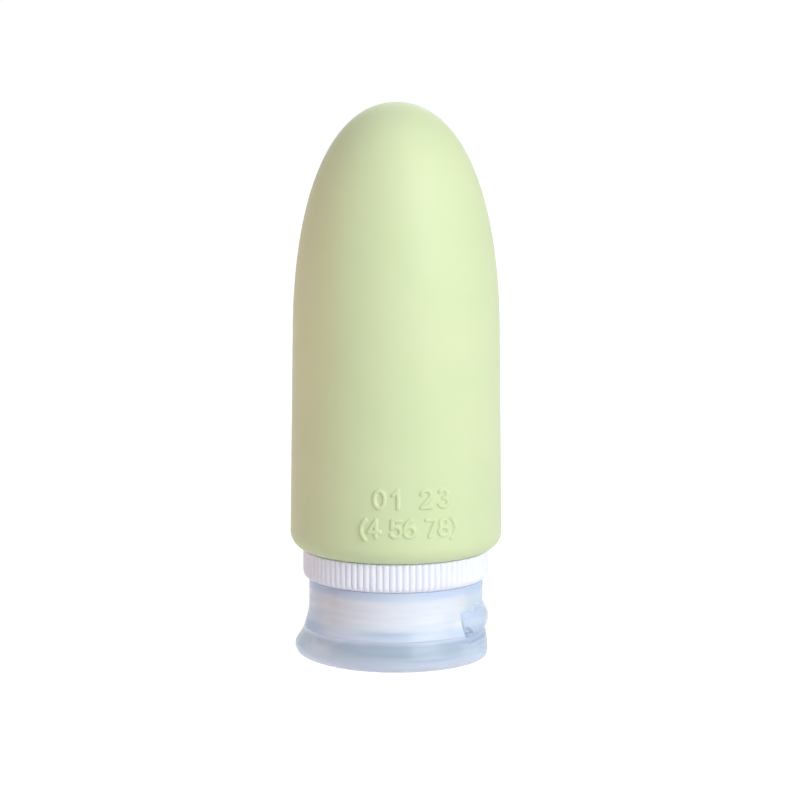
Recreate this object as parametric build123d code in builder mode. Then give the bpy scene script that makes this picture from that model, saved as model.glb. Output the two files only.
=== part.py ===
from build123d import *
import math
import os

# A squeezable silicone travel bottle, standing upside down on its flip lid.
# Millimetres, +Z up, origin on the axis at the lid's underside, lid hinge at +X, thumb lip at -X.

# Silicone body. Its dome is two arcs up from the shoulder and a third one round the crown
body_diameter = 47.0
shoulder_diameter = 45.9
straight_height = 47.6
dome_side_radius = 137.8
dome_side_angle = 12.36
dome_bend_radius = 41.0
dome_bend_angle = 27.4
body_wall = 3.0
foot_fillet = 4.0
foot_ledge = 0.5
floor_chamfer = 2.0
mouth_wall = 2.7
mouth_length = 3.9

# Clearances
seat_gap = 0.1
collar_gap = 0.3
parting_gap = 0.25
overrun = 1.0

# Clamp collar
collar_wall = 1.6
collar_height = 6.4
collar_lip = 0.9
collar_lip_clearance = 1.2
collar_chamfer = 0.5
rib_count = 88
rib_root_width = 1.15
rib_flank_angle = 70.0
rib_depth = 0.42

# Screw cap
cap_height = 10.3
skirt_inset = 1.3
skirt_wall = 1.5
sleeve_space = 1.2
sleeve_wall = 1.2
sleeve_drop = 1.0
deck_thickness = 1.1
cap_mouth_chamfer = 0.4

# Neck insert
thread_room = 1.1
neck_wall = 2.2
neck_lead = 0.6
flange_thickness = 1.5
barb_reach = 1.2
barb_thickness = 1.2
barb_chamfer = 0.6

# Sealing washer
washer_thickness = 0.9
washer_outer_lap = 0.5
washer_inner_lap = 0.6

# Valve seat and outlet in the cap's deck
seat_ring_clearance = 1.0
seat_ring_wall = 1.2
seat_ring_height = 2.8
outlet_share = 0.46
nozzle_wall = 1.9
nozzle_height = 1.7

# Valve and its retainer
valve_flange_clearance = 0.3
valve_flange_thickness = 0.9
cup_clearance = 0.3
cup_wall = 0.7
valve_membrane = 0.6
slit_margin = 1.1
slit_width = 0.15
retainer_thickness = 1.4
retainer_bore_share = 0.5
retainer_chamfer = 0.4

# Flip lid and the bell outline that it shares with the cap
lid_height = 6.75
flare_reach = 2.2
rim_chamfer = 1.0
bell_height = 10.5
lid_wall = 1.7
lid_floor = 2.7
foot_width = 6.6
foot_recess_depth = 0.5
hinge_edge_reach = 1.1
hinge_edge_top_reach = 0.3

# Thumb lip, a smaller flare set off towards -X
lip_reach = 0.9
lip_inset = 7.5
lip_flare_reach = 3.0

# Plug and guard ring inside the lid
plug_clearance = 0.3
plug_gap = 0.4
plug_chamfer = 0.8
ring_clearance = 0.4
ring_wall = 1.0
ring_height = 3.2

# Butterfly hinge
strap_root_width = 25.0
strap_waist_width = 20.4
strap_thickness = 0.8
strap_bow = 1.15
strap_crown_rise = 2.1
strap_crown_height = 1.2
strap_stand = 0.1
pocket_side_gap = 0.6
pocket_depth = 0.9
pocket_rise = 5.3
pocket_fall = 1.75

# Heights of the stack, from the lid's underside up
parting_height = lid_height + parting_gap / 2
deck_bottom = lid_height + parting_gap
deck_top = deck_bottom + deck_thickness
cap_top = deck_bottom + cap_height
washer_bottom = deck_top + seat_gap
neck_bottom = washer_bottom + washer_thickness + seat_gap
collar_bottom = cap_top + collar_gap
collar_top = collar_bottom + collar_height
flange_bottom = collar_bottom + collar_lip + seat_gap
flange_top = flange_bottom + flange_thickness
body_foot = collar_top + seat_gap
body_floor = body_foot + body_wall
shoulder = body_foot + straight_height
barb_bottom = body_floor + seat_gap
neck_top = barb_bottom + barb_thickness

# Radii, from the silicone body inwards through the mouth, the collar, the cap and the neck
body_radius = body_diameter / 2
mouth_outer = body_radius - foot_fillet - foot_ledge
mouth_radius = mouth_outer - mouth_wall
collar_bore_radius = mouth_outer + seat_gap
collar_radius = collar_bore_radius + collar_wall
skirt_radius = collar_radius - skirt_inset
skirt_bore = skirt_radius - skirt_wall
sleeve_outer = skirt_bore - sleeve_space
sleeve_bore = sleeve_outer - sleeve_wall
neck_radius = sleeve_bore - thread_room
neck_bore_radius = neck_radius - neck_wall
seat_ring_outer = neck_bore_radius - seat_ring_clearance
seat_ring_bore = seat_ring_outer - seat_ring_wall
flare_radius = skirt_radius + flare_reach
outlet_radius = outlet_share * seat_ring_bore
nozzle_radius = outlet_radius + nozzle_wall


# Half section between the axis and the flared outline that the cap and the lid share:
# a chamfered rim, and a hollow side that ends upright at the waist.
def bell(plane, waist, reach, top):
    rise = bell_height - rim_chamfer
    lean = 2 * math.atan(reach / rise)
    with BuildSketch(plane) as half_section:
        with BuildLine():
            side = JernArc((waist, bell_height), (0, -1), rise / math.sin(lean), math.degrees(lean))
            Polyline(
                side @ 1,
                (waist + reach - rim_chamfer, 0),
                (0, 0),
                (0, top),
                (waist, top),
                side @ 0,
            )
        make_face()
    return half_section.sketch


# The silicone body, with its mouth turned down into the collar
mouth_end = body_foot - mouth_length
shoulder_radius = shoulder_diameter / 2
inner_radius = body_radius - body_wall

# The crown's arc is centred on the axis and continues the bend
crown_angle = 90 - dome_side_angle - dome_bend_angle
side_lean = math.radians(dome_side_angle)
bend_lean = math.radians(dome_side_angle + dome_bend_angle)
bend_end = (
    shoulder_radius
    - dome_side_radius * (1 - math.cos(side_lean))
    - dome_bend_radius * (math.cos(side_lean) - math.cos(bend_lean))
)
crown_radius = bend_end / math.cos(bend_lean)

with BuildPart() as silicone_body:
    with BuildSketch(Plane.XZ):
        with BuildLine():
            foot = JernArc((body_radius - foot_fillet, body_foot), (1, 0), foot_fillet, 90)
            wall = Line(foot @ 1, (shoulder_radius, shoulder))
            side = JernArc(wall @ 1, (0, 1), dome_side_radius, dome_side_angle)
            bend = JernArc(side @ 1, side % 1, dome_bend_radius, dome_bend_angle)
            crown = JernArc(bend @ 1, bend % 1, crown_radius, crown_angle)
            # Inside, the wall and the dome are straight up to the crown
            inner_side_end = side @ 1 - body_wall * Vector(math.cos(side_lean), math.sin(side_lean))
            inner_bend_end = bend @ 1 - body_wall * Vector(math.cos(bend_lean), math.sin(bend_lean))
            inner_crown = JernArc(inner_bend_end, bend % 1, crown_radius - body_wall, crown_angle)
            Line(crown @ 1, inner_crown @ 1)
            Polyline(
                inner_bend_end,
                inner_side_end,
                (shoulder_radius - body_wall, shoulder),
                (inner_radius, body_floor + floor_chamfer),
                (inner_radius - floor_chamfer, body_floor),
                (mouth_radius, body_floor),
                (mouth_radius, mouth_end),
                (mouth_outer, mouth_end),
                (mouth_outer, body_foot),
                foot @ 0,
            )
        make_face()
    revolve(axis=Axis.Z)

# The neck insert: screw neck, flange on the collar's lip, sleeve through the mouth and barb
insert_sleeve_radius = mouth_radius - seat_gap
barb_radius = insert_sleeve_radius + barb_reach

with BuildPart() as neck_insert:
    with BuildSketch(Plane.XZ):
        with BuildLine():
            Polyline(
                (neck_bore_radius, neck_bottom),
                (neck_radius - neck_lead, neck_bottom),
                (neck_radius, neck_bottom + neck_lead),
                (neck_radius, flange_bottom),
                (mouth_outer, flange_bottom),
                (mouth_outer, flange_top),
                (insert_sleeve_radius, flange_top),
                (insert_sleeve_radius, barb_bottom),
                (barb_radius, barb_bottom),
                (barb_radius, neck_top - barb_chamfer),
                (barb_radius - barb_chamfer, neck_top),
                (neck_bore_radius, neck_top),
                close=True,
            )
        make_face()
    revolve(axis=Axis.Z)

# The clamp collar: a cup with a hole in its floor, and a flat-topped rib for each knurl
cup_outer = collar_radius - rib_depth

with BuildPart() as clamp_collar:
    with BuildSketch(Plane.XZ):
        with BuildLine():
            Polyline(
                (neck_radius + collar_lip_clearance, collar_bottom),
                (cup_outer - collar_chamfer, collar_bottom),
                (cup_outer, collar_bottom + collar_chamfer),
                (cup_outer, collar_top),
                (collar_bore_radius, collar_top),
                (collar_bore_radius, collar_bottom + collar_lip),
                (neck_radius + collar_lip_clearance, collar_bottom + collar_lip),
                close=True,
            )
        make_face()
    revolve(axis=Axis.Z)
    # The ribs start above the chamfer and run up to the rim
    with BuildSketch(Plane.XY.offset(collar_bottom + collar_chamfer)):
        with PolarLocations(cup_outer - rib_depth, rib_count):
            Trapezoid(
                rib_root_width,
                2 * rib_depth,
                rib_flank_angle,
                rotation=-90,
                align=(Align.CENTER, Align.MIN),
            )
    extrude(amount=collar_height - collar_chamfer)

# The sealing washer, between the cap's deck and the neck's end
with BuildPart() as sealing_washer:
    with BuildSketch(Plane.XY.offset(washer_bottom)):
        Circle(neck_radius + washer_outer_lap)
        Circle(neck_bore_radius - washer_inner_lap, mode=Mode.SUBTRACT)
    extrude(amount=washer_thickness)

# The pocket that the hinge strap lies in, across the parting plane
pocket_width = strap_root_width + 2 * pocket_side_gap
pocket_radius = skirt_radius - pocket_depth
pocket_low = parting_height - pocket_fall
pocket_high = parting_height + pocket_rise

with BuildPart() as hinge_pocket:
    with BuildSketch(Plane.YZ):
        with BuildLine():
            Polyline(
                (-pocket_width / 2, pocket_low),
                (pocket_width / 2, pocket_low),
                (pocket_width / 2, pocket_high),
                (-pocket_width / 2, pocket_high),
                close=True,
            )
        make_face()
    extrude(amount=flare_radius + overrun)
    with BuildSketch(Plane.XY):
        Circle(pocket_radius)
    extrude(amount=cap_top, mode=Mode.SUBTRACT)

# The hinge strap: a band that bows out above the parting plane and is narrowest on it
strap_low = pocket_low + seat_gap
strap_high = pocket_high - seat_gap
strap_end_radius = skirt_radius + strap_stand
strap_crown_radius = strap_end_radius + strap_bow
crown_middle = parting_height + strap_crown_rise
crown_low = crown_middle - strap_crown_height / 2
crown_high = crown_middle + strap_crown_height / 2

with BuildPart() as hinge_strap:
    with BuildSketch(Plane.XZ):
        with BuildLine():
            Polyline(
                (strap_end_radius, strap_low),
                (strap_crown_radius, crown_low),
                (strap_crown_radius, crown_high),
                (strap_end_radius, strap_high),
                (strap_end_radius - strap_thickness, strap_high),
                (strap_crown_radius - strap_thickness, crown_high),
                (strap_crown_radius - strap_thickness, crown_low),
                (strap_end_radius - strap_thickness, strap_low),
                close=True,
            )
        make_face()
    revolve(axis=Axis.Z)
    with BuildSketch(Plane.YZ):
        with BuildLine():
            Polyline(
                (-strap_root_width / 2, strap_low),
                (strap_root_width / 2, strap_low),
                (strap_waist_width / 2, parting_height),
                (strap_root_width / 2, crown_middle),
                (strap_root_width / 2, strap_high),
                (-strap_root_width / 2, strap_high),
                (-strap_root_width / 2, crown_middle),
                (-strap_waist_width / 2, parting_height),
                close=True,
            )
        make_face()
    extrude(amount=flare_radius + overrun, mode=Mode.INTERSECT)

# The screw cap: flared skirt, threaded sleeve, deck with its outlet, and the valve's seat ring
with BuildPart() as cap_base:
    revolve(bell(Plane.XZ, skirt_radius, flare_reach, cap_top), axis=Axis.Z)
    split(bisect_by=Plane.XY.offset(deck_bottom), keep=Keep.TOP)
    with BuildSketch(Plane.XY.offset(deck_top)):
        Circle(skirt_bore)
        Circle(sleeve_outer, mode=Mode.SUBTRACT)
        Circle(sleeve_bore)
    extrude(amount=cap_height, mode=Mode.SUBTRACT)
    with BuildSketch(Plane.XY.offset(cap_top - sleeve_drop)):
        Circle(skirt_bore)
    extrude(amount=sleeve_drop + overrun, mode=Mode.SUBTRACT)
    with BuildSketch(Plane.XY.offset(deck_top)):
        Circle(seat_ring_outer)
        Circle(seat_ring_bore, mode=Mode.SUBTRACT)
    extrude(amount=seat_ring_height)
    with BuildSketch(Plane.XY.offset(deck_bottom)):
        Circle(nozzle_radius)
    extrude(amount=-nozzle_height)
    with BuildSketch(Plane.XY.offset(deck_bottom - nozzle_height - overrun)):
        Circle(outlet_radius)
    extrude(amount=nozzle_height + deck_thickness + 2 * overrun, mode=Mode.SUBTRACT)
    add(hinge_pocket.part, mode=Mode.SUBTRACT)
    rims = cap_base.edges().filter_by(GeomType.CIRCLE).group_by(Axis.Z)[-1]
    chamfer(rims.sort_by(SortBy.RADIUS)[-1], cap_mouth_chamfer)

# The flip lid: flared foot with a hollow, thumb lip, flat at the hinge, plug and guard ring
lid_hollow_radius = skirt_radius - lid_wall
lip_waist = skirt_radius + flare_reach - lip_inset - lip_flare_reach
lip_centre = -(flare_radius + lip_reach - lip_waist - lip_flare_reach)
hinge_edge = skirt_radius + hinge_edge_reach
ring_bore = nozzle_radius + ring_clearance
plug_radius = outlet_radius - cup_clearance - cup_wall - plug_clearance
plug_top = deck_bottom - plug_gap
bell_top = bell_height + overrun

with BuildPart() as flip_lid:
    revolve(bell(Plane.XZ, skirt_radius, flare_reach, bell_top), axis=Axis.Z)
    lip_plane = Plane.XZ.shift_origin((lip_centre, 0, 0))
    lip_axis = Axis((lip_centre, 0, 0), (0, 0, 1))
    revolve(bell(lip_plane, lip_waist, lip_flare_reach, bell_top), axis=lip_axis)
    split(bisect_by=Plane.XY.offset(lid_height), keep=Keep.BOTTOM)
    # The flare is cut back to a straight edge under the hinge
    with BuildSketch(Plane.XZ):
        with BuildLine():
            Polyline(
                (hinge_edge - rim_chamfer - overrun, -overrun),
                (hinge_edge, rim_chamfer),
                (skirt_radius + hinge_edge_top_reach, parting_height),
                (flare_radius + overrun, parting_height),
                (flare_radius + overrun, -overrun),
                close=True,
            )
        make_face()
    extrude(amount=flare_radius, both=True, mode=Mode.SUBTRACT)
    with BuildSketch(Plane.XY.offset(lid_floor)):
        Circle(lid_hollow_radius)
    extrude(amount=lid_height, mode=Mode.SUBTRACT)
    with BuildSketch(Plane.XY):
        Circle(flare_radius - foot_width)
    extrude(amount=foot_recess_depth, mode=Mode.SUBTRACT)
    with BuildSketch(Plane.XY.offset(lid_floor)):
        Circle(ring_bore + ring_wall)
        Circle(ring_bore, mode=Mode.SUBTRACT)
    extrude(amount=ring_height)
    with BuildSketch(Plane.XZ):
        with BuildLine():
            Polyline(
                (0, lid_floor),
                (plug_radius, lid_floor),
                (plug_radius, plug_top - plug_chamfer),
                (plug_radius - plug_chamfer, plug_top),
                (0, plug_top),
                close=True,
            )
        make_face()
    revolve(axis=Axis.Z)
    add(hinge_pocket.part, mode=Mode.SUBTRACT)

# The no-drip valve: a flange on the deck and a cup in the outlet, closed by a slit membrane
valve_bottom = deck_top + seat_gap
cup_bottom = deck_bottom
cup_radius = outlet_radius - cup_clearance
slit_length = 2 * (cup_radius - cup_wall - slit_margin)

with BuildPart() as no_drip_valve:
    with BuildSketch(Plane.XY.offset(valve_bottom)):
        Circle(seat_ring_bore - valve_flange_clearance)
    extrude(amount=valve_flange_thickness)
    with BuildSketch(Plane.XY.offset(cup_bottom)):
        Circle(cup_radius)
    extrude(amount=valve_bottom - cup_bottom)
    with BuildSketch(Plane.XY.offset(cup_bottom + valve_membrane)):
        Circle(cup_radius - cup_wall)
    extrude(amount=valve_flange_thickness + deck_thickness, mode=Mode.SUBTRACT)
    with BuildSketch(Plane.XY.offset(cup_bottom)):
        Rectangle(slit_length, slit_width)
        Rectangle(slit_width, slit_length)
    extrude(amount=valve_membrane, mode=Mode.SUBTRACT)

# The retainer ring, pressed into the seat ring on top of the valve's flange
retainer_bottom = valve_bottom + valve_flange_thickness + seat_gap

with BuildPart() as valve_retainer:
    with BuildSketch(Plane.XY.offset(retainer_bottom)):
        Circle(seat_ring_bore - seat_gap)
        Circle(retainer_bore_share * seat_ring_bore, mode=Mode.SUBTRACT)
    extrude(amount=retainer_thickness)
    retainer_rim = valve_retainer.edges().filter_by(GeomType.CIRCLE).group_by(Axis.Z)[-1]
    chamfer(retainer_rim.sort_by(SortBy.RADIUS)[0], retainer_chamfer)

pieces = {
    "silicone_body": silicone_body,
    "neck_insert": neck_insert,
    "clamp_collar": clamp_collar,
    "sealing_washer": sealing_washer,
    "cap_base": cap_base,
    "flip_lid": flip_lid,
    "hinge_strap": hinge_strap,
    "no_drip_valve": no_drip_valve,
    "valve_retainer": valve_retainer,
}

os.makedirs("parts", exist_ok=True)
for name, piece in pieces.items():
    piece.part.label = name
    export_step(piece.part, f"parts/{name}.step")
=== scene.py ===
import math

import bmesh
import bpy
import numpy as np
from mathutils import Matrix, Vector


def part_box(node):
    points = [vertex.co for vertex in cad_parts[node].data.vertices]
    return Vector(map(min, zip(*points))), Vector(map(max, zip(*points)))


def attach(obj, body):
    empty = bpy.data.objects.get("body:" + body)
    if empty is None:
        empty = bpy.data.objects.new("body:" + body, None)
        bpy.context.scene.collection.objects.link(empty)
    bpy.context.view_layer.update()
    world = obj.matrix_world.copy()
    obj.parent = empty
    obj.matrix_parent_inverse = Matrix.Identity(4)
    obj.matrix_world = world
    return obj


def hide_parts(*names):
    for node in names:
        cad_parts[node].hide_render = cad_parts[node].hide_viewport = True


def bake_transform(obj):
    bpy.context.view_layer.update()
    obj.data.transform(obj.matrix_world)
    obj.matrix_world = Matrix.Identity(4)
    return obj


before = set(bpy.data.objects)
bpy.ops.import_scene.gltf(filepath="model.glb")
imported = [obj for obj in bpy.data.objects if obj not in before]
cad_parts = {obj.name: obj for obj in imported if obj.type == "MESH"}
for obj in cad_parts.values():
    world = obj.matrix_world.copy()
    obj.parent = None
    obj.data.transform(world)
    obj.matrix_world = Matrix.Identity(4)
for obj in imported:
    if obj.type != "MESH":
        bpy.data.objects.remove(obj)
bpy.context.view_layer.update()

# Sizes are in millimetres where nothing else is said, and heights start at the lid's underside
MM = 0.001


def node_range(node):
    """Lowest and highest corner of a CAD node, in millimetres."""
    low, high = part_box(node)
    return low / MM, high / MM


# Heights and radii that come from the frame
body_low, body_high = node_range("silicone_body")
collar_low, collar_high = node_range("clamp_collar")
neck_low, neck_high = node_range("neck_insert")
strap_low, strap_high = node_range("hinge_strap")

BODY_RADIUS = body_high.x
BODY_TOP = body_high.z
MOUTH_END = body_low.z
COLLAR_RADIUS = collar_high.x
COLLAR_BOTTOM, COLLAR_TOP = collar_low.z, collar_high.z
NECK_BOTTOM, NECK_TOP = neck_low.z, neck_high.z
CAP_TOP = node_range("cap_base")[1].z
LID_TOP = node_range("flip_lid")[1].z

# Clearance between pieces that seat on each other
SEAT = 0.1
# How much higher than the CAD's collar the ribbed rim stands
COLLAR_RAISE = 0.3

# Fillets of moulded edges, where 0 leaves a corner sharp
HAIR_FILLET = 0.1
FINE_FILLET = 0.2
EDGE_FILLET = 0.3
CORNER_FILLET = 0.35
SOFT_FILLET = 0.4
# A fillet takes at most this share of the shorter side next to it
FILLET_SIDE_SHARE = 0.49
# A point of an outline that is closer to the axis than this lies on it
AXIS_RADIUS = 1e-6
# Points that are closer together than this, in metres, are one
SAME_POINT = 1e-7
# Edges of smooth surfaces that turn by more degrees than this are shown sharp
SHARP_ANGLE = 35.0
# Two radii that differ by less than this are the same wall
SAME_WALL = 0.01


# Outlines and meshes


def bezier(a, b, c, d, steps):
    """Points along a cubic curve, both ends included."""
    points = []
    for i in range(steps + 1):
        t = i / steps
        s = 1 - t
        points.append(tuple(s**3 * p + 3 * s * s * t * q + 3 * s * t * t * r + t**3 * e
                            for p, q, r, e in zip(a, b, c, d)))
    return points


def quarter(count):
    """Angles of a quarter turn, both ends included."""
    return np.linspace(0, math.pi / 2, count)


def rounded(corners, steps=5):
    """A closed outline with a fillet at each corner: corners are (radius, height, fillet)."""
    outline = []
    count = len(corners)
    for i, (x, y, fillet) in enumerate(corners):
        if fillet <= 0:
            outline.append((x, y))
            continue
        here = np.array((x, y))
        before = np.array(corners[i - 1][:2]) - here
        after = np.array(corners[(i + 1) % count][:2]) - here
        before_unit = before / np.linalg.norm(before)
        after_unit = after / np.linalg.norm(after)
        half = math.acos(max(-1, min(1, float(before_unit @ after_unit)))) / 2
        shorter = min(np.linalg.norm(before), np.linalg.norm(after))
        reach = min(fillet / math.tan(half), FILLET_SIDE_SHARE * shorter)
        radius = reach * math.tan(half)
        middle = before_unit + after_unit
        centre = here + middle / np.linalg.norm(middle) * radius / math.sin(half)
        first = here + before_unit * reach - centre
        last = here + after_unit * reach - centre
        turn = math.atan2(first[0] * last[1] - first[1] * last[0], float(first @ last))
        for k in range(steps + 1):
            cos, sin = math.cos(turn * k / steps), math.sin(turn * k / steps)
            outline.append((centre[0] + first[0] * cos - first[1] * sin,
                            centre[1] + first[0] * sin + first[1] * cos))
    return outline


def refine(outline, longest, closed=True):
    """The same outline with its long runs cut into steps no longer than the given length."""
    result = []
    count = len(outline)
    for i in range(count if closed else count - 1):
        a, b = np.array(outline[i]), np.array(outline[(i + 1) % count])
        pieces = max(1, math.ceil(np.linalg.norm(b - a) / longest))
        for k in range(pieces):
            result.append(tuple(a + (b - a) * k / pieces))
    if not closed:
        result.append(tuple(outline[-1]))
    return result


def mesh_object(name, points, faces, material, sharp=SHARP_ANGLE):
    """A smooth-shaded object from points in millimetres."""
    mesh = bpy.data.meshes.new(name)
    mesh.from_pydata([tuple(MM * c for c in p) for p in points], [], faces)
    mesh.validate()
    piece = bpy.data.objects.new(name, mesh)
    bpy.context.scene.collection.objects.link(piece)
    finish_mesh(piece, sharp)
    mesh.materials.append(material)
    return piece


def finish_mesh(piece, sharp=SHARP_ANGLE):
    """Outward normals, and smooth shading broken only at corners sharper than the angle."""
    work = bmesh.new()
    work.from_mesh(piece.data)
    bmesh.ops.remove_doubles(work, verts=work.verts, dist=SAME_POINT)
    bmesh.ops.recalc_face_normals(work, faces=work.faces)
    work.to_mesh(piece.data)
    work.free()
    piece.data.shade_smooth()
    piece.data.set_sharp_from_angle(angle=math.radians(sharp))


def ring_of(count):
    """Even angles round the axis."""
    return [math.tau * i / count for i in range(count)]


def lathe(name, outline, angles, material, shift=None, sharp=SHARP_ANGLE):
    """A closed outline turned round the axis. shift(angle, radius, height) moves single points."""
    points, rows = [], []
    for radius, height in outline:
        if radius < AXIS_RADIUS:
            rows.append([len(points)] * len(angles))
            points.append((0.0, 0.0, height))
            continue
        row = []
        for angle in angles:
            r, z = shift(angle, radius, height) if shift else (radius, height)
            row.append(len(points))
            points.append((r * math.cos(angle), r * math.sin(angle), z))
        rows.append(row)
    faces = []
    for low, high in zip(rows, rows[1:] + rows[:1]):
        for j in range(len(angles)):
            k = (j + 1) % len(angles)
            loop = []
            for v in (low[j], low[k], high[k], high[j]):
                if v not in loop:
                    loop.append(v)
            if len(loop) > 2:
                faces.append(loop)
    return mesh_object(name, points, faces, material, sharp)


def prism(name, outline, low, high, material):
    """A closed outline, across and up, pushed along X between two places."""
    points = [(place, across, up) for place in (low, high) for across, up in outline]
    count = len(outline)
    faces = [list(range(count)), list(range(count, 2 * count))]
    for i in range(count):
        k = (i + 1) % count
        faces.append([i, k, count + k, count + i])
    return mesh_object(name, points, faces, material)


def cut(piece, cutter):
    """Takes a closed mesh away from a piece, and deletes it."""
    modifier = piece.modifiers.new("cut", "BOOLEAN")
    modifier.operation = "DIFFERENCE"
    modifier.solver = "EXACT"
    modifier.object = cutter
    bpy.context.view_layer.update()
    graph = bpy.context.evaluated_depsgraph_get()
    mesh = bpy.data.meshes.new_from_object(piece.evaluated_get(graph), depsgraph=graph)
    piece.modifiers.clear()
    piece.data = mesh
    finish_mesh(piece)
    bpy.data.objects.remove(cutter, do_unlink=True)


# Materials

# Nearly all of a noise lies between these two values
NOISE_LOW, NOISE_HIGH = 0.3, 0.7


def add_node(tree, kind, inputs=None, **settings):
    """A node with its inputs set to values or linked to sockets."""
    node = tree.nodes.new(kind)
    for key, value in settings.items():
        setattr(node, key, value)
    for key, value in (inputs or {}).items():
        if isinstance(value, bpy.types.NodeSocket):
            tree.links.new(value, node.inputs[key])
        else:
            node.inputs[key].default_value = value
    return node


class Nodes:
    """Short hand for one material's nodes, which read places on the object itself."""

    def __init__(self, name):
        self.material = bpy.data.materials.new(name)
        self.material.use_nodes = True
        self.tree = self.material.node_tree
        self.shader = self.tree.nodes["Principled BSDF"]
        self.where = self.add("ShaderNodeTexCoord").outputs["Object"]

    def add(self, kind, inputs=None, **settings):
        return add_node(self.tree, kind, inputs, **settings)

    def set(self, **values):
        """Sets constants on the shader's own sockets."""
        for key, value in values.items():
            self.shader.inputs[key.replace("_", " ")].default_value = value

    def link(self, value, socket):
        """Links a value to the shader."""
        self.tree.links.new(value, self.shader.inputs[socket])

    def axis(self, letter):
        """Place on the object along one axis, in metres."""
        return self.add("ShaderNodeSeparateXYZ", {"Vector": self.where}).outputs[letter]

    def away(self):
        """Distance from the object's own Z axis, in metres."""
        inputs = {0: self.where, 1: (1.0, 1.0, 0.0)}
        flat = self.add("ShaderNodeVectorMath", inputs, operation="MULTIPLY").outputs["Vector"]
        return self.add("ShaderNodeVectorMath", {0: flat}, operation="LENGTH").outputs["Value"]

    def calculate(self, operation, *values):
        return self.add("ShaderNodeMath", dict(enumerate(values)), operation=operation).outputs[0]

    def between(self, value, start, end, low=0.0, high=1.0):
        """Goes from low to high as the value goes from start to end."""
        inputs = {"Value": value, "From Min": start, "From Max": end, "To Min": low, "To Max": high}
        return self.add("ShaderNodeMapRange", inputs).outputs["Result"]

    def noise(self, scale, detail=3.0, stretch=None):
        vector = self.where
        if stretch:
            inputs = {"Vector": vector, "Scale": stretch}
            vector = self.add("ShaderNodeMapping", inputs).outputs["Vector"]
        inputs = {"Vector": vector, "Scale": scale, "Detail": detail}
        return self.add("ShaderNodeTexNoise", inputs).outputs["Fac"]

    def vary(self, noise, low, high):
        """A number that a noise moves between low and high."""
        return self.between(noise, NOISE_LOW, NOISE_HIGH, low, high)

    def ramp(self, noise, low, high):
        """A colour that a noise moves between low and high."""
        node = self.add("ShaderNodeValToRGB", {"Fac": noise})
        first, last = node.color_ramp.elements
        first.position, last.position = NOISE_LOW, NOISE_HIGH
        first.color, last.color = low, high
        return node.outputs["Color"]

    def zones(self, tones):
        """A colour that changes softly with height: tones are (height in millimetres, colour)."""
        height = self.between(self.axis("Z"), 0.0, TONES_TOP * MM)
        node = self.add("ShaderNodeValToRGB", {"Fac": height})
        ramp = node.color_ramp
        ramp.interpolation = "EASE"
        while len(ramp.elements) < len(tones):
            ramp.elements.new(0.5)
        for element, (place, colour) in zip(ramp.elements, tones):
            element.position = place / TONES_TOP
            element.color = colour
        return node.outputs["Color"]

    def mix(self, factor, first, second, blend="MIX"):
        """Two colours mixed. The node's colour sockets have numbers, as their names repeat."""
        inputs = {0: factor, 6: first, 7: second}
        return self.add("ShaderNodeMix", inputs, data_type="RGBA", blend_type=blend).outputs[2]

    def bump(self, height, strength, distance):
        inputs = {"Height": height, "Strength": strength, "Distance": distance}
        self.link(self.add("ShaderNodeBump", inputs).outputs["Normal"], "Normal")


def linear(red, green, blue):
    """A colour given as 0 to 255 values of a picture, as the shaders take it."""
    values = []
    for value in (red, green, blue):
        c = value / 255
        values.append(c / 12.92 if c <= 0.04045 else ((c + 0.055) / 1.055) ** 2.4)
    return (*values, 1.0)


def silicone_material():
    """Satin pale green silicone, with a little light carried inside it."""
    m = Nodes("silicone")
    mottle = m.noise(scale=45.0, detail=2.0)
    m.link(m.ramp(mottle, low=linear(207, 223, 174), high=linear(212, 226, 179)), "Base Color")
    m.link(m.vary(m.noise(scale=900.0), low=0.44, high=0.54), "Roughness")
    m.bump(m.noise(scale=5200.0, detail=2.0), strength=0.10, distance=0.00003)
    m.set(Subsurface_Weight=0.22, Subsurface_Radius=(1.0, 1.0, 0.55), Subsurface_Scale=0.0022,
          Specular_IOR_Level=0.34, Sheen_Weight=0.12, Sheen_Roughness=0.5)
    return m.material


def white_material(name, low, high, roughness):
    """Moulded white plastic with faint flow marks."""
    m = Nodes(name)
    m.link(m.ramp(m.noise(scale=160.0, stretch=(1.0, 1.0, 0.3)), low, high), "Base Color")
    m.link(m.vary(m.noise(scale=700.0), low=roughness - 0.04, high=roughness + 0.05), "Roughness")
    m.bump(m.noise(scale=2600.0, detail=2.0), strength=0.06, distance=0.00003)
    m.set(Subsurface_Weight=0.10, Subsurface_Radius=(1.0, 1.0, 1.0), Subsurface_Scale=0.001)
    return m.material


# How opaque the clouded plastic is: its outer skin on each piece, and the walls inside it
CAP_MILK = 0.74
LID_MILK = 0.60
STRAP_MILK = 0.74
WALL_MILK = 0.22
# Share of that which still holds back a lamp's light
SHADOW_SHARE = 0.05
# The skin is what lies past these radii, or lower than these heights, with a soft change between
SKIN_START, SKIN_END = 18.1, 18.7
UNDERSIDE_START, UNDERSIDE_END = 0.5, 0.7
# The tone changes with height, as walls of other thickness and the neck show through, and it holds painted
# shade over the lid's hollow and just under the collar
TONES_TOP = 17.9
# Painted shade: the cap's tone turns darker and bluer just under the collar
CAP_TONES_AND_SHADE = (
    (6.9, linear(227, 239, 255)),
    (8.3, linear(224, 238, 255)),
    (10.2, linear(243, 249, 255)),
    (15.0, linear(246, 250, 255)),
    (17.0, linear(220, 234, 255)),
)
# Painted shade: the lid's tone darkens over its hollow, from 3.4 to 5.8 mm
LID_TONES_AND_SHADE = (
    (0.0, linear(206, 219, 237)),
    (2.2, linear(200, 214, 233)),
    (3.4, linear(180, 202, 219)),
    (5.8, linear(182, 204, 221)),
    (6.8, linear(220, 236, 254)),
)
STRAP_TONES = (
    (5.2, linear(198, 214, 230)),
    (12.2, linear(214, 228, 244)),
)
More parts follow.
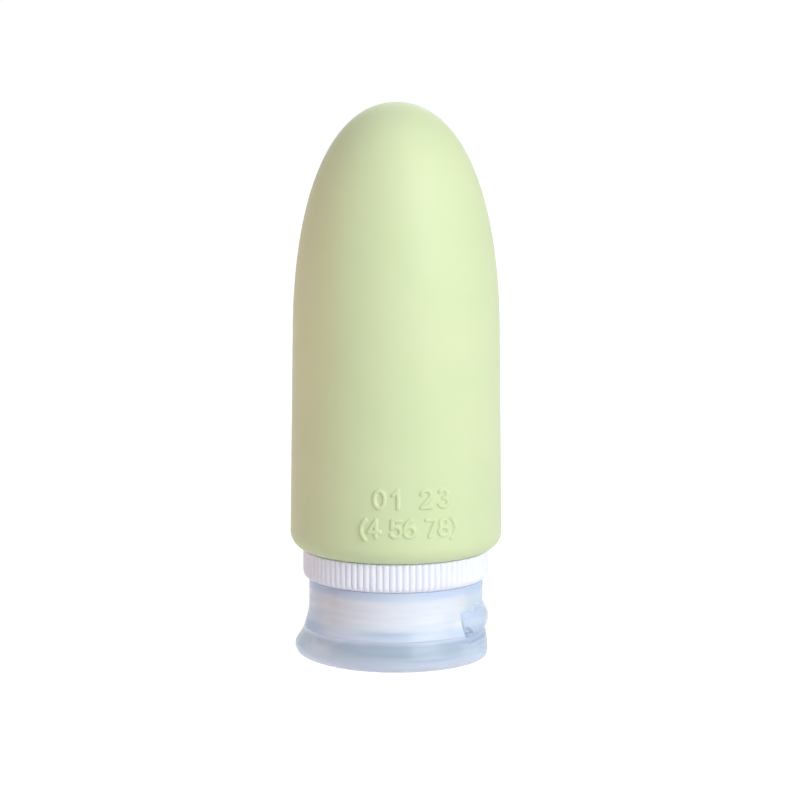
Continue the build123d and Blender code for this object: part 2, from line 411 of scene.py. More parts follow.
# Towards the hinge and the thumb lip the cap's tone is painted darker, as painted shade, and the lid's is
# painted paler, as painted light
FLANK_START, FLANK_END = 15.0, 19.5
CAP_FLANK_SHADE = (0.71, 0.87, 0.98, 1.0)
LID_FLANK_LIGHT = (1.05, 1.11, 1.09, 1.0)
# Factors on a tone: none, and that of a faint streak
NO_CHANGE = (1.0, 1.0, 1.0, 1.0)
STREAK = (0.85, 0.89, 0.94, 1.0)


def frosted_material(name, tones, skin, flank_light_and_shade=NO_CHANGE):
    """Clouded polypropylene: a dense skin over thinner walls, and light that filters through. Its tone
    holds painted shade and painted light.
    """
    m = Nodes(name)
    tone = m.zones(tones)
    # Painted shade darkens the cap's flanks, and painted light makes the lid's flanks paler
    painted_flank_mask = m.between(m.calculate("ABSOLUTE", m.axis("X")), FLANK_START * MM, FLANK_END * MM)
    tone = m.mix(painted_flank_mask, tone, m.mix(1.0, tone, flank_light_and_shade, "MULTIPLY"))
    streaks = m.noise(scale=55.0, detail=2.0, stretch=(1.0, 1.0, 11.0))
    m.link(m.mix(1.0, tone, m.ramp(streaks, low=STREAK, high=NO_CHANGE), "MULTIPLY"), "Base Color")
    gloss = m.noise(scale=260.0, stretch=(1.0, 1.0, 4.0))
    m.link(m.vary(gloss, low=0.18, high=0.28), "Roughness")
    outside = m.between(m.away(), SKIN_START * MM, SKIN_END * MM, low=WALL_MILK, high=skin)
    height = m.axis("Z")
    underside = m.between(height, UNDERSIDE_START * MM, UNDERSIDE_END * MM, low=skin, high=WALL_MILK)
    shadow = m.add("ShaderNodeLightPath").outputs["Is Shadow Ray"]
    filtered = m.between(shadow, 0.0, 1.0, low=1.0, high=SHADOW_SHARE)
    milk = m.calculate("MAXIMUM", outside, underside)
    m.link(m.calculate("MULTIPLY", milk, filtered), "Alpha")
    m.set(Subsurface_Weight=0.4, Subsurface_Radius=(0.8, 0.9, 1.0), Subsurface_Scale=0.002,
          Specular_IOR_Level=0.45)
    return m.material


SILICONE = silicone_material()
COLLAR_WHITE = white_material("collar_white", linear(237, 241, 251), linear(241, 244, 253), roughness=0.34)
NECK_WHITE = white_material("neck_white", linear(238, 243, 254), linear(243, 247, 255), roughness=0.38)
WASHER_WHITE = white_material("washer_white", linear(232, 235, 238), linear(238, 240, 243), roughness=0.55)
VALVE_WHITE = white_material("valve_clear", linear(225, 230, 233), linear(232, 236, 239), roughness=0.5)
FROSTED_CAP = frosted_material("frosted_cap", CAP_TONES_AND_SHADE, CAP_MILK, CAP_FLANK_SHADE)
FROSTED_LID = frosted_material("frosted_lid", LID_TONES_AND_SHADE, LID_MILK, LID_FLANK_LIGHT)
FROSTED_STRAP = frosted_material("frosted_strap", STRAP_TONES, STRAP_MILK)


# Raised marks on the body: plain numbers, drawn as strokes in a unit of the digits' height


def arc(cx, cy, rx, ry, start, end, steps=14):
    """Points of an elliptical arc, angles in degrees."""
    angles = [math.radians(start + (end - start) * i / steps) for i in range(steps + 1)]
    return [(cx + rx * math.cos(a), cy + ry * math.sin(a)) for a in angles]


DIGITS = {
    "0": [arc(0.31, 0.50, 0.31, 0.50, 0, 360, 28)],
    "1": [[(0.02, 0.76), (0.30, 1.0), (0.30, 0.0)]],
    "2": [arc(0.31, 0.71, 0.29, 0.29, 165, -35) + [(0.02, 0.0), (0.62, 0.0)]],
    "3": [arc(0.29, 0.75, 0.26, 0.25, 150, -90), arc(0.29, 0.26, 0.30, 0.26, 90, -150)],
    "4": [[(0.46, 0.0), (0.46, 1.0), (0.0, 0.28), (0.66, 0.28)]],
    "5": [[(0.56, 1.0), (0.10, 1.0), (0.07, 0.54)] + arc(0.29, 0.32, 0.31, 0.32, 125, -150)],
    "6": [arc(0.31, 0.31, 0.31, 0.31, 0, 360, 24), arc(0.60, 0.38, 0.60, 0.66, 180, 108)],
    "7": [[(0.0, 1.0), (0.60, 1.0), (0.20, 0.0)]],
    "8": [arc(0.31, 0.75, 0.25, 0.25, 0, 360, 24), arc(0.31, 0.26, 0.31, 0.26, 0, 360, 24)],
    "(": [arc(1.34, 0.40, 1.32, 1.00, 142, 218)],
    ")": [arc(-1.04, 0.40, 1.32, 1.00, 38, -38)],
}
WIDTHS = {"(": 0.30, ")": 0.28, " ": 0.34, "1": 0.42}
DIGIT_WIDTH = 0.64
STROKE = 0.78
MARK_RELIEF = 0.42
MARK_EDGE = 0.36
# Squared length under which a segment of a stroke counts as a point
POINT_LENGTH = 1e-9
# Rows of marks: text, height of the digits, space between them as a share of it, height of their
# foot on the body, azimuth of the middle
MARKS = (
    ("01 23", 3.75, 0.45, 37.6, 8.8),
    ("(4 56 78)", 3.6, 0.19, 31.2, 7.2),
)


def mark_segments():
    """All strokes as line segments on the unrolled body: arc length from the front, and height."""
    segments = []
    for text, size, space, foot, azimuth in MARKS:
        width = sum(WIDTHS.get(c, DIGIT_WIDTH) + space for c in text) - space
        left = math.radians(azimuth) * BODY_RADIUS - width * size / 2
        for c in text:
            for stroke in DIGITS.get(c, []):
                path = [(left + x * size, foot + y * size) for x, y in stroke]
                segments += list(zip(path[:-1], path[1:]))
            left += (WIDTHS.get(c, DIGIT_WIDTH) + space) * size
    return np.array(segments)


def mark_height(across, up, segments):
    """Relief of the marks at points of the unrolled body."""
    here = np.stack([across, up], -1)[:, None, :]
    a, b = segments[None, :, 0, :], segments[None, :, 1, :]
    along = b - a
    share = ((here - a) * along).sum(-1) / np.maximum((along**2).sum(-1), POINT_LENGTH)
    nearest = a + along * np.clip(share, 0, 1)[..., None]
    distance = np.sqrt(((here - nearest)**2).sum(-1)).min(-1)
    t = np.clip((STROKE / 2 + MARK_EDGE / 2 - distance) / MARK_EDGE, 0, 1)
    return MARK_RELIEF * t * t * (3 - 2 * t)


# Silicone body, finely meshed only where the marks stand
BODY_FOOT = COLLAR_TOP + COLLAR_RAISE + SEAT
STRAIGHT_HEIGHT = 47.6
SHOULDER = BODY_FOOT + STRAIGHT_HEIGHT
SHOULDER_RADIUS = 22.95
BODY_WALL = 3.0
FOOT_FILLET = 4.0
FLOOR_FILLET = 3.0
MOUTH_RADIUS = 16.3
MOUTH_WALL = 2.7
DOME_SIDE_SHARE = 0.61
DOME_TOP_SHARE = 0.62
WALL_STEP = 1.2
MARK_MARGIN = 1.2
MARK_STEP = 0.13
PLAIN_COLUMNS = 150
# The front of the body is at -Y, so an arc length across it turns from there towards +X
FRONT = -math.pi / 2


def dome(radius, top, steps):
    """The dome's curve from the shoulder to the axis."""
    side = SHOULDER + DOME_SIDE_SHARE * (top - SHOULDER)
    return bezier((radius, SHOULDER), (radius, side), (DOME_TOP_SHARE * radius, top), (0, top),
                  steps)


def body_outline():
    """The body's section, split into the outer skin and the rest."""
    foot = [(BODY_RADIUS - FOOT_FILLET * (1 - math.sin(a)),
             BODY_FOOT + FOOT_FILLET * (1 - math.cos(a))) for a in quarter(16)]
    wall = refine([foot[-1], (SHOULDER_RADIUS, SHOULDER)], WALL_STEP, closed=False)
    outer = foot + wall[1:] + dome(SHOULDER_RADIUS, BODY_TOP, steps=64)[1:]

    inner_dome = dome(SHOULDER_RADIUS - BODY_WALL, BODY_TOP - BODY_WALL, steps=40)[::-1]
    inner_radius = BODY_RADIUS - BODY_WALL
    floor = BODY_FOOT + BODY_WALL
    corner = [(inner_radius - FLOOR_FILLET * (1 - math.cos(a)),
               floor + FLOOR_FILLET * (1 - math.sin(a))) for a in quarter(9)]
    mouth_outer = MOUTH_RADIUS + MOUTH_WALL
    mouth = [(MOUTH_RADIUS, floor), (MOUTH_RADIUS, MOUTH_END),
             (mouth_outer, MOUTH_END), (mouth_outer, BODY_FOOT)]
    return outer, inner_dome + corner + mouth


def make_body():
    """The silicone body, with its marks raised from the skin."""
    outer, inner = body_outline()
    segments = mark_segments()
    mark_left, mark_low = segments.min(axis=(0, 1)) - MARK_MARGIN
    mark_right, mark_high = segments.max(axis=(0, 1)) + MARK_MARGIN
    rows = []
    for a, b in zip(outer[:-1], outer[1:]):
        near = a[1] < mark_high and b[1] > mark_low
        pieces = math.ceil((b[1] - a[1]) / MARK_STEP) if near else 1
        rows += [tuple(np.array(a) + (np.array(b) - np.array(a)) * k / pieces) for k in range(pieces)]
    rows.append(outer[-1])
    fine = np.arange(mark_left, mark_right, MARK_STEP) / BODY_RADIUS + FRONT
    coarse = np.linspace(fine[-1], fine[0] + math.tau, PLAIN_COLUMNS)[1:-1]
    angles = list(fine) + list(coarse)

    across = (np.array(angles) - FRONT) * BODY_RADIUS
    across = np.where(across > math.pi * BODY_RADIUS, across - math.tau * BODY_RADIUS, across)
    relief = {}
    for _, height in rows:
        if mark_low < height < mark_high:
            raised = mark_height(across, np.full(len(angles), height), segments)
            relief[height] = dict(zip(angles, raised))

    def shift(angle, radius, height):
        # At the heights of the marks only the outer skin has points
        return radius + relief.get(height, {}).get(angle, 0.0), height

    return lathe("bottle_skin", rows + inner, angles, SILICONE, shift=shift)


body = make_body()
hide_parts("silicone_body")
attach(body, "bottle")


# Clamp collar, whose ribs are round ridges that run out over its rounded edges
RIB_COUNT = 88
RIB_DEPTH = 0.46
RIB_STEPS = 10
RIB_NARROWING = 2.1
RIB_REACH = 1.1
RIB_FADE = 0.7
RIB_SHARP_ANGLE = 60.0
COLLAR_BORE = 19.1
COLLAR_LIP = 0.9
COLLAR_LIP_BORE = 15.6
COLLAR_FOOT_FILLET = 1.6
COLLAR_STEP = 0.8


def make_collar():
    """The collar's rim and its lip, which holds the neck's flange from below."""
    rim_bottom = COLLAR_BOTTOM + COLLAR_RAISE
    rim_top = COLLAR_TOP + COLLAR_RAISE
    lip_top = COLLAR_BOTTOM + COLLAR_LIP
    outline = rounded([
        (COLLAR_LIP_BORE, rim_bottom, FINE_FILLET),
        (COLLAR_RADIUS, rim_bottom, COLLAR_FOOT_FILLET),
        (COLLAR_RADIUS, rim_top + SEAT, CORNER_FILLET),
        (COLLAR_BORE, rim_top + SEAT / 2, FINE_FILLET),
        (COLLAR_BORE, lip_top, 0),
        (COLLAR_LIP_BORE, lip_top, FINE_FILLET),
    ], steps=8)

    def shift(angle, radius, height):
        depth = RIB_DEPTH * np.clip((radius - COLLAR_RADIUS + RIB_REACH) / RIB_FADE, 0, 1)
        phase = (angle * RIB_COUNT / math.tau) % 1.0
        crest = math.sqrt(max(0.0, 1 - (RIB_NARROWING * (phase - 0.5))**2))
        return radius - depth * (1 - crest), height

    return lathe("knurled_collar", refine(outline, COLLAR_STEP), ring_of(RIB_COUNT * RIB_STEPS),
                 COLLAR_WHITE, shift=shift, sharp=RIB_SHARP_ANGLE)


collar = make_collar()
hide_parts("clamp_collar")
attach(collar, "bottle")


# Neck insert
NECK_RADIUS = 14.4
NECK_BORE = 12.2
NECK_END_FILLET = 0.5
NECK_ROOT_FILLET = 0.25
NECK_COLUMNS = 180
NECK_STEP = 0.16
SLEEVE_RADIUS = 16.2
FLANGE_THICKNESS = 1.5
FLANGE_BOTTOM = COLLAR_BOTTOM + COLLAR_LIP + SEAT
FLANGE_TOP = FLANGE_BOTTOM + FLANGE_THICKNESS
FLANGE_RADIUS = 19.0
FLANGE_FILLET = 0.15
BARB_BOTTOM = BODY_FOOT + BODY_WALL + SEAT
BARB_RADIUS = 17.4
BARB_FILLET = 0.6

# The screw thread's ridge, with steep flanks, fades in and out over a twelfth of a turn
THREAD_LEAD = 4.0
THREAD_HEIGHT = 0.75
THREAD_HALF_WIDTH = 0.85
THREAD_STEEPNESS = 1.8
THREAD_FADES = 12
THREAD_START = 1.1
THREAD_END = 0.6
THREAD_LOW = NECK_BOTTOM + THREAD_START
THREAD_HIGH = FLANGE_BOTTOM - THREAD_END
THREAD_TURNS = (THREAD_HIGH - THREAD_LOW - 2 * THREAD_HALF_WIDTH) / THREAD_LEAD


def thread_rise(angle, height, low, turns):
    """Share of a right-handed ridge's height, one start, at a point of its wall."""
    best = 0.0
    for turn in range(-1, math.ceil(turns) + 2):
        along = angle / math.tau + turn
        if 0 <= along <= turns:
            middle = low + THREAD_HALF_WIDTH + along * THREAD_LEAD
            side = 1 - abs(height - middle) / THREAD_HALF_WIDTH
            fade = min(1.0, along * THREAD_FADES, (turns - along) * THREAD_FADES)
            best = max(best, fade * np.clip(side * THREAD_STEEPNESS, 0, 1))
    return best


def make_neck():
    """The neck with its thread, its flange, and the barbed sleeve inside the silicone's mouth."""
    outline = rounded([
        (NECK_BORE, NECK_BOTTOM, EDGE_FILLET),
        (NECK_RADIUS, NECK_BOTTOM, NECK_END_FILLET),
        (NECK_RADIUS, FLANGE_BOTTOM, NECK_ROOT_FILLET),
        (FLANGE_RADIUS, FLANGE_BOTTOM, FLANGE_FILLET),
        (FLANGE_RADIUS, FLANGE_TOP, FLANGE_FILLET),
        (SLEEVE_RADIUS, FLANGE_TOP, FINE_FILLET),
        (SLEEVE_RADIUS, BARB_BOTTOM, 0),
        (BARB_RADIUS, BARB_BOTTOM, 0),
        (BARB_RADIUS, NECK_TOP, BARB_FILLET),
        (NECK_BORE, NECK_TOP, SOFT_FILLET),
    ])

    def shift(angle, radius, height):
        if abs(radius - NECK_RADIUS) > SAME_WALL or not THREAD_LOW < height < THREAD_HIGH:
            return radius, height
        return radius + THREAD_HEIGHT * thread_rise(angle, height, THREAD_LOW, THREAD_TURNS), height

    return lathe("threaded_neck", refine(outline, NECK_STEP), ring_of(NECK_COLUMNS), NECK_WHITE,
                 shift=shift)


neck = make_neck()
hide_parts("neck_insert")
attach(neck, "bottle")


# The bell that the screw cap and the flip lid share, parted by a hair between them
FLARE_RADIUS = 21.6
SKIRT_RADIUS = 19.35
RIM_ROUND = 2.8
BELL_HEIGHT = 13.0
BELL_LOW_HANDLE = 1.6
BELL_HIGH_HANDLE = 6.2
BELL_COLUMNS = 240
PARTING_GAP = 0.25
PARTING = LID_TOP + PARTING_GAP / 2
# At the parting plane: the gap that is seen, and the bevels and the ledge beside it
EDGE_GAP = 0.02
EDGE_START = 0.15
EDGE_LEDGE = 0.5
EDGE_BEVEL = 0.05

# Thumb lip at -X: its reach past the round bell at heights up the side, and its half angle
LIP_HEIGHTS = (0.0, 2.4, 3.3, 4.1, 4.9, 5.6, 6.3, 7.2, 8.6, 9.8, 11.5)
LIP_REACHES = (0.88, 0.88, 0.82, 0.66, 0.47, 0.33, 0.26, 0.23, 0.19, 0.10, 0.0)
LIP_HALF_ANGLE = 42.0


def bell_side():
    """The flared side from the underside's edge to the top of the bell."""
    rim = [(FLARE_RADIUS - RIM_ROUND * (1 - math.sin(a)), RIM_ROUND * (1 - math.cos(a)))
           for a in quarter(12)]
    side = bezier((FLARE_RADIUS, RIM_ROUND), (FLARE_RADIUS, RIM_ROUND + BELL_LOW_HANDLE),
                  (SKIRT_RADIUS, BELL_HEIGHT - BELL_HIGH_HANDLE), (SKIRT_RADIUS, BELL_HEIGHT),
                  steps=48)
    return rim + side[1:]


BELL_SIDE = bell_side()


def bell_radius(height):
    """Radius of the bell at a height."""
    return float(np.interp(height, [z for _, z in BELL_SIDE], [r for r, _ in BELL_SIDE]))


# The hinge's pocket, cut into the cap and the lid at +X
POCKET_HALF = 13.1
POCKET_LOW = strap_low.z - SEAT
POCKET_HIGH = strap_high.z + SEAT
POCKET_DEPTH = 0.9
POCKET_OVERRUN = 2.0
POCKET_FLOOR_RADIUS = SKIRT_RADIUS - POCKET_DEPTH


def pocket_cutter():
    """The space round the hinge strap, outside the pocket's floor."""
    block = prism("pocket_cutter", rounded([
        (-POCKET_HALF, POCKET_LOW, CORNER_FILLET),
        (POCKET_HALF, POCKET_LOW, CORNER_FILLET),
        (POCKET_HALF, POCKET_HIGH, CORNER_FILLET),
        (-POCKET_HALF, POCKET_HIGH, CORNER_FILLET),
    ]), 0.0, FLARE_RADIUS + POCKET_OVERRUN, FROSTED_CAP)
    low, high = -POCKET_OVERRUN / 2, CAP_TOP
    core = [(0, low), (POCKET_FLOOR_RADIUS, low), (POCKET_FLOOR_RADIUS, high), (0, high)]
    cut(block, lathe("pocket_core", core, ring_of(BELL_COLUMNS), FROSTED_CAP))
    return block


# Screw cap
DECK_THICKNESS = 1.1
DECK_BOTTOM = LID_TOP + PARTING_GAP
DECK_TOP = DECK_BOTTOM + DECK_THICKNESS
SKIRT_BORE = 17.9
SKIRT_GAP = 0.06
SKIRT_TOP = COLLAR_BOTTOM + COLLAR_RAISE - SKIRT_GAP
SKIRT_ROWS = 18
CAP_BEVEL = 0.02
CAP_SLEEVE_BORE = 15.5
CAP_SLEEVE_OUTER = 16.7
CAP_SLEEVE_DROP = 1.0
CAP_SLEEVE_TOP = CAP_TOP - CAP_SLEEVE_DROP
# Rows of points for the thread start and end this far from the sleeve's ends
CAP_SLEEVE_START = 0.35
CAP_SLEEVE_END = 0.12
CAP_SLEEVE_STEP = 0.17
CAP_THREAD_HEIGHT = 0.6
CAP_THREAD_END = 0.3
CAP_THREAD_LOW = THREAD_LOW - THREAD_LEAD / 2
CAP_THREAD_HIGH = CAP_SLEEVE_TOP - CAP_THREAD_END
CAP_THREAD_TURNS = (CAP_THREAD_HIGH - CAP_THREAD_LOW - 2 * THREAD_HALF_WIDTH) / THREAD_LEAD
SEAT_RING_BORE = 10.0
SEAT_RING_OUTER = 11.2
SEAT_RING_HEIGHT = 2.8
SEAT_RING_TOP = DECK_TOP + SEAT_RING_HEIGHT
NOZZLE_RADIUS = 6.5
NOZZLE_HEIGHT = 1.7
NOZZLE_BOTTOM = DECK_BOTTOM - NOZZLE_HEIGHT
OUTLET_RADIUS = 4.6

# Flip lid
LID_HOLLOW_RADIUS = 17.7
LID_HOLLOW_FILLET = 0.9
LID_FLOOR = 2.7
LID_BEVEL = 0.03
FOOT_RECESS_RADIUS = 15.0
FOOT_RECESS_DEPTH = 0.5
GUARD_RING_BORE = 6.9
GUARD_RING_OUTER = 7.9
GUARD_RING_HEIGHT = 3.2
GUARD_RING_TOP = LID_FLOOR + GUARD_RING_HEIGHT
PLUG_RADIUS = 3.3
PLUG_GAP = 0.4
PLUG_TOP = DECK_BOTTOM - PLUG_GAP
PLUG_FILLET = 0.8
# Only what lies past this radius is outside wall, which the lip and the hinge's edge reshape
OUTSIDE_MARGIN = 1.0
OUTSIDE_RADIUS = LID_HOLLOW_RADIUS + OUTSIDE_MARGIN
# Straight edge at the hinge, at the flare and at the skirt, with softly rounded corners. It is
# looked for where the angle's cosine is over HINGE_SIDE_COSINE
HINGE_EDGE = 20.5
HINGE_EDGE_TOP = 19.7
HINGE_SIDE_COSINE = 0.5
HINGE_CORNER = 0.35


def lipped(angle, radius, height):
    """The outer radius drawn out to a thumb lip at -X, which dies away up the skirt."""
    away = abs(math.degrees(angle) - 180)
    if radius < OUTSIDE_RADIUS or away > LIP_HALF_ANGLE:
        return radius, height
    swell = math.cos(math.radians(away / LIP_HALF_ANGLE * 90))**2
    return radius + swell * float(np.interp(height, LIP_HEIGHTS, LIP_REACHES)), height


def threaded(angle, radius, height):
    """The cap's outer lip, and the thread inside its sleeve, half a lead from the neck's."""
    if abs(radius - CAP_SLEEVE_BORE) > SAME_WALL:
        return lipped(angle, radius, height)
    rise = thread_rise(angle, height, CAP_THREAD_LOW, CAP_THREAD_TURNS)
    return radius - CAP_THREAD_HEIGHT * rise, height


def flared(angle, radius, height):
    """The lid's outer radius, with the lip at -X and cut straight at the hinge at +X."""
    if radius < OUTSIDE_RADIUS or math.cos(angle) <= HINGE_SIDE_COSINE:
        return lipped(angle, radius, height)
    share = max(0.0, (radius - SKIRT_RADIUS) / (FLARE_RADIUS - SKIRT_RADIUS))
    straight = (HINGE_EDGE_TOP + (HINGE_EDGE - HINGE_EDGE_TOP) * share) / math.cos(angle)
    # A soft minimum rounds the corners where the straight edge meets the flare
    return radius - HINGE_CORNER * math.log1p(math.exp((radius - straight) / HINGE_CORNER)), height


def make_cap():
    """Skirt, deck, threaded sleeve, seat ring and nozzle, in one closed outline."""
    edge = PARTING + EDGE_GAP / 2
    edge_radius = bell_radius(DECK_BOTTOM)
    ledge = (edge_radius - EDGE_LEDGE, DECK_BOTTOM)
    bevel = [(edge_radius - EDGE_BEVEL, edge), (edge_radius - CAP_BEVEL, edge + CAP_BEVEL)]
    skirt = [(bell_radius(z), z) for z in np.linspace(edge + EDGE_START, BELL_HEIGHT, SKIRT_ROWS)]
    sleeve = np.arange(CAP_SLEEVE_TOP - CAP_SLEEVE_START, DECK_TOP + CAP_SLEEVE_END,
                       -CAP_SLEEVE_STEP)
    outline = rounded([
        (OUTLET_RADIUS, DECK_TOP, HAIR_FILLET),
        (OUTLET_RADIUS, NOZZLE_BOTTOM, CORNER_FILLET),
        (NOZZLE_RADIUS, NOZZLE_BOTTOM, CORNER_FILLET),
        (NOZZLE_RADIUS, DECK_BOTTOM, FINE_FILLET),
        (edge_radius, DECK_BOTTOM, 0),
        (SKIRT_RADIUS, SKIRT_TOP, EDGE_FILLET),
        (SKIRT_BORE, SKIRT_TOP, SOFT_FILLET),
        (SKIRT_BORE, DECK_TOP, SOFT_FILLET),
        (CAP_SLEEVE_OUTER, DECK_TOP, SOFT_FILLET),
        (CAP_SLEEVE_OUTER, CAP_SLEEVE_TOP, EDGE_FILLET),
        (CAP_SLEEVE_BORE, CAP_SLEEVE_TOP, EDGE_FILLET),
        *[(CAP_SLEEVE_BORE, z, 0) for z in sleeve],
        (CAP_SLEEVE_BORE, DECK_TOP, 0),
        (SEAT_RING_OUTER, DECK_TOP, HAIR_FILLET),
        (SEAT_RING_OUTER, SEAT_RING_TOP, SOFT_FILLET),
        (SEAT_RING_BORE, SEAT_RING_TOP, EDGE_FILLET),
        (SEAT_RING_BORE, DECK_TOP, HAIR_FILLET),
    ])
    # The bell's side takes the place of the corner at the parting edge
    corner = outline.index((edge_radius, DECK_BOTTOM))
    outline[corner:corner + 1] = [ledge, *bevel, *skirt]
    piece = lathe("screw_cap", outline, ring_of(BELL_COLUMNS), FROSTED_CAP, shift=threaded)
    cut(piece, pocket_cutter())
    return piece


def make_lid():
    """Flared foot with a hollow, thumb lip, straight edge at the hinge, guard ring and plug."""
    edge = PARTING - EDGE_GAP / 2
    edge_radius = bell_radius(edge)
    side = [point for point in BELL_SIDE if point[1] < edge - 2 * EDGE_START]
    bevel = [(bell_radius(edge - EDGE_START), edge - EDGE_START),
             (edge_radius - LID_BEVEL, edge - LID_BEVEL), (edge_radius - EDGE_BEVEL, edge)]
    inside = rounded([
        (edge_radius - EDGE_LEDGE, LID_TOP, 0),
        (LID_HOLLOW_RADIUS, LID_TOP, FINE_FILLET),
        (LID_HOLLOW_RADIUS, LID_FLOOR, LID_HOLLOW_FILLET),
        (GUARD_RING_OUTER, LID_FLOOR, EDGE_FILLET),
        (GUARD_RING_OUTER, GUARD_RING_TOP, EDGE_FILLET),
        (GUARD_RING_BORE, GUARD_RING_TOP, EDGE_FILLET),
        (GUARD_RING_BORE, LID_FLOOR, EDGE_FILLET),
        (PLUG_RADIUS, LID_FLOOR, EDGE_FILLET),
        (PLUG_RADIUS, PLUG_TOP, PLUG_FILLET),
        (0, PLUG_TOP, 0),
        (0, FOOT_RECESS_DEPTH, 0),
        (FOOT_RECESS_RADIUS, FOOT_RECESS_DEPTH, FINE_FILLET),
        (FOOT_RECESS_RADIUS, 0, FINE_FILLET),
        (FLARE_RADIUS - RIM_ROUND, 0, 0),
    ])
    # The last corner is where the bell's side starts
    outline = side + bevel + inside[:-1]
    piece = lathe("foot_lid", outline, ring_of(BELL_COLUMNS), FROSTED_LID, shift=flared)
    cut(piece, pocket_cutter())
    return piece


# The hinge strap: it bows out above the parting plane, and is narrowest on it
STRAP_HALF = 12.95
STRAP_WAIST_HALF = 10.2
STRAP_WAIST_POWER = 1.2
STRAP_THICKNESS = 0.8
STRAP_LOW_RADIUS = 19.65
STRAP_HIGH_RADIUS = 19.4
STRAP_CROWN = 9.0
STRAP_BOW = 1.14
STRAP_BOW_LOW = 6.0
STRAP_BOW_POWER = 1.3
STRAP_COLUMNS = 48
STRAP_ROWS = 36


def strap_point(height, share_across, depth):
    """A point of the strap, at a share from -1 to 1 of its half width and a depth in its wall."""
    up = (height - POCKET_LOW) / (POCKET_HIGH - POCKET_LOW)
    swell = np.clip((height - STRAP_BOW_LOW) / (POCKET_HIGH - STRAP_BOW_LOW), 0, 1)
    bow = STRAP_BOW * math.sin(math.pi * swell)**STRAP_BOW_POWER
    radius = STRAP_LOW_RADIUS + (STRAP_HIGH_RADIUS - STRAP_LOW_RADIUS) * up + bow - depth
    span = STRAP_CROWN - PARTING if height > PARTING else PARTING - POCKET_LOW
    from_waist = min(1.0, abs(height - PARTING) / span)
    half = STRAP_WAIST_HALF + (STRAP_HALF - STRAP_WAIST_HALF) * from_waist**STRAP_WAIST_POWER
    across = half * share_across
    return math.sqrt(radius**2 - across**2), across, height


def make_strap():
    """A bowed band with a notch at each side of its waist, whose ends run into the cap and the lid."""
    points, faces = [], []
    for depth in (0.0, STRAP_THICKNESS):
        for i in range(STRAP_ROWS + 1):
            height = POCKET_LOW + (POCKET_HIGH - POCKET_LOW) * i / STRAP_ROWS
            points += [strap_point(height, 2 * j / STRAP_COLUMNS - 1, depth)
                       for j in range(STRAP_COLUMNS + 1)]
    row = STRAP_COLUMNS + 1
    layer = row * (STRAP_ROWS + 1)
    for i in range(STRAP_ROWS):
        for j in range(STRAP_COLUMNS):
            a = i * row + j
            faces.append([a, a + 1, a + row + 1, a + row])
            faces.append([layer + a, layer + a + row, layer + a + row + 1, layer + a + 1])
    edge = list(range(row))
    edge += [i * row + STRAP_COLUMNS for i in range(1, STRAP_ROWS + 1)]
    edge += [STRAP_ROWS * row + j for j in range(STRAP_COLUMNS - 1, -1, -1)]
    edge += [i * row for i in range(STRAP_ROWS - 1, 0, -1)]
    for a, b in zip(edge, edge[1:] + edge[:1]):
        faces.append([a, b, layer + b, layer + a])
    return mesh_object("bowed_strap", points, faces, FROSTED_STRAP)


cap = make_cap()
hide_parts("cap_base")
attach(cap, "cap")

lid = make_lid()
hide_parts("flip_lid")
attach(lid, "lid")

strap = make_strap()
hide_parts("hinge_strap")
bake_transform(strap)

# The pieces inside the cap are the CAD's own, with materials from above
for node, material in (("sealing_washer", WASHER_WHITE), ("no_drip_valve", VALVE_WHITE),
                       ("valve_retainer", NECK_WHITE)):
    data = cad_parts[node].data
    data.materials.clear()
    data.materials.append(material)


# Floor and backdrop: the floor's side is in metres
FLOOR_SIZE = 6.0
FLOOR_GLOW = 0.88
FLOOR_SHADE = 0.34
FLOOR_BOUNCE = 0.9


def seen_directly(tree):
    """1 for camera rays and for rays that metal, gloss and clear plastic send on."""
    path = add_node(tree, "ShaderNodeLightPath")
    result = path.outputs["Is Camera Ray"]
    for other in ("Is Glossy Ray", "Is Transmission Ray"):
        inputs = {0: result, 1: path.outputs[other]}
        result = add_node(tree, "ShaderNodeMath", inputs, operation="MAXIMUM").outputs[0]
    return result


def show_directly(tree, output, seen, lighting):
    """One shader where it is looked at, and another one for the light that reaches the object."""
    inputs = {0: seen_directly(tree), 1: lighting.outputs[0], 2: seen.outputs[0]}
    mix = add_node(tree, "ShaderNodeMixShader", inputs)
    add_node(tree, output, {"Surface": mix.outputs[0]})


def diffuse(tree, grey):
    """A plain matt shader."""
    return add_node(tree, "ShaderNodeBsdfDiffuse", {"Color": (grey, grey, grey, 1.0)})


def floor_material():
    """A white floor whose own glow, where it is looked at, leaves the object's shadow pale."""
    material = bpy.data.materials.new("floor")
    material.use_nodes = True
    tree = material.node_tree
    tree.nodes.clear()
    glow = add_node(tree, "ShaderNodeEmission", {"Strength": FLOOR_GLOW})
    shade = diffuse(tree, FLOOR_SHADE)
    seen = add_node(tree, "ShaderNodeAddShader", {0: glow.outputs[0], 1: shade.outputs[0]})
    show_directly(tree, "ShaderNodeOutputMaterial", seen, diffuse(tree, FLOOR_BOUNCE))
    return material


def make_floor():
    """A plain pale floor that keeps the object's shadow."""
    half = FLOOR_SIZE / 2
    corners = [(-half, -half, 0), (half, -half, 0), (half, half, 0), (-half, half, 0)]
    mesh = bpy.data.meshes.new("floor")
    mesh.from_pydata(corners, [], [(0, 1, 2, 3)])
    mesh.materials.append(floor_material())
    floor = bpy.data.objects.new("floor", mesh)
    bpy.context.scene.collection.objects.link(floor)


def make_world(strength, colour):
    """Soft light from all round, and a white backdrop for the camera and for reflections."""
    world = bpy.data.worlds.new("studio")
    bpy.context.scene.world = world
    world.use_nodes = True
    tree = world.node_tree
    tree.nodes.clear()
    light = add_node(tree, "ShaderNodeBackground", {"Strength": strength, "Color": (*colour, 1.0)})
    backdrop = add_node(tree, "ShaderNodeBackground", {"Strength": 1.0})
    show_directly(tree, "ShaderNodeOutputWorld", backdrop, light)


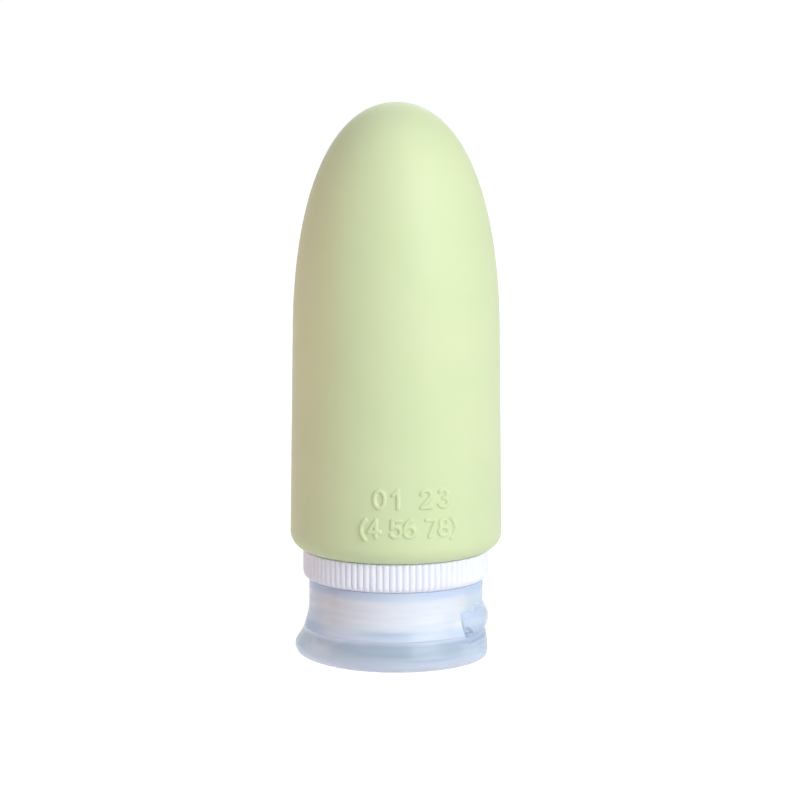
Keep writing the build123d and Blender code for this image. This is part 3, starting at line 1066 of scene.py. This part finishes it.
def lamp(name, place, target, size, power, colour, fan=180.0):
    """A square area lamp aimed at a point, in metres, and how wide it fans out, in degrees."""
    data = bpy.data.lights.new(name, "AREA")
    data.shape = "SQUARE"
    data.size = size
    data.energy = power
    data.color = colour
    data.spread = math.radians(fan)
    light = bpy.data.objects.new(name, data)
    light.location = place
    light.rotation_euler = (Vector(target) - Vector(place)).to_track_quat("-Z", "Y").to_euler()
    light.visible_camera = False
    bpy.context.scene.collection.objects.link(light)


# The camera stands far off with a long lens and looks a little down
CAMERA_DISTANCE = 1000.0
CAMERA_HEIGHT = 221.7
CAMERA_ACROSS = 0.86
PITCH_DEGREES = 9.318
ROLL_DEGREES = 0.07
FOCAL_PIXELS = 4566.9
PHOTO_WIDTH = 800
SENSOR_WIDTH = 36.0


def make_camera():
    """The camera, as fitted to the photograph."""
    data = bpy.data.cameras.new("camera")
    data.sensor_width = SENSOR_WIDTH
    data.lens = FOCAL_PIXELS * SENSOR_WIDTH / PHOTO_WIDTH
    camera = bpy.data.objects.new("camera", data)
    place = Matrix.Translation(MM * Vector((CAMERA_ACROSS, -CAMERA_DISTANCE, CAMERA_HEIGHT)))
    tilt = Matrix.Rotation(math.radians(90 - PITCH_DEGREES), 4, "X")
    roll = Matrix.Rotation(math.radians(ROLL_DEGREES), 4, "Z")
    camera.matrix_world = place @ tilt @ roll
    bpy.context.scene.collection.objects.link(camera)
    bpy.context.scene.camera = camera


make_floor()
make_world(strength=0.40, colour=(0.895, 0.922, 0.98))
lamp("key", place=(0.53, -0.68, 0.42), target=(0, 0, 0.06), size=0.60, power=5.8,
     colour=(0.985, 0.96, 1.0))
lamp("top", place=(0.22, -0.30, 0.92), target=(0, 0, 0.08), size=0.50, power=1.2,
     colour=(1.0, 0.98, 0.96))
lamp("back", place=(0.0, 0.75, 0.55), target=(0, 0, 0.06), size=0.60, power=1.6,
     colour=(0.96, 0.97, 1.0))
# Warm light thrown back from near by on the left, a little above the body's middle
lamp("bounce", place=(-0.130, 0.0, 0.080), target=(0, 0, 0.076), size=0.12, power=0.0140,
     colour=(1.0, 0.22, 0.11), fan=100.0)
make_camera()
bpy.context.scene.view_settings.view_transform = "Standard"
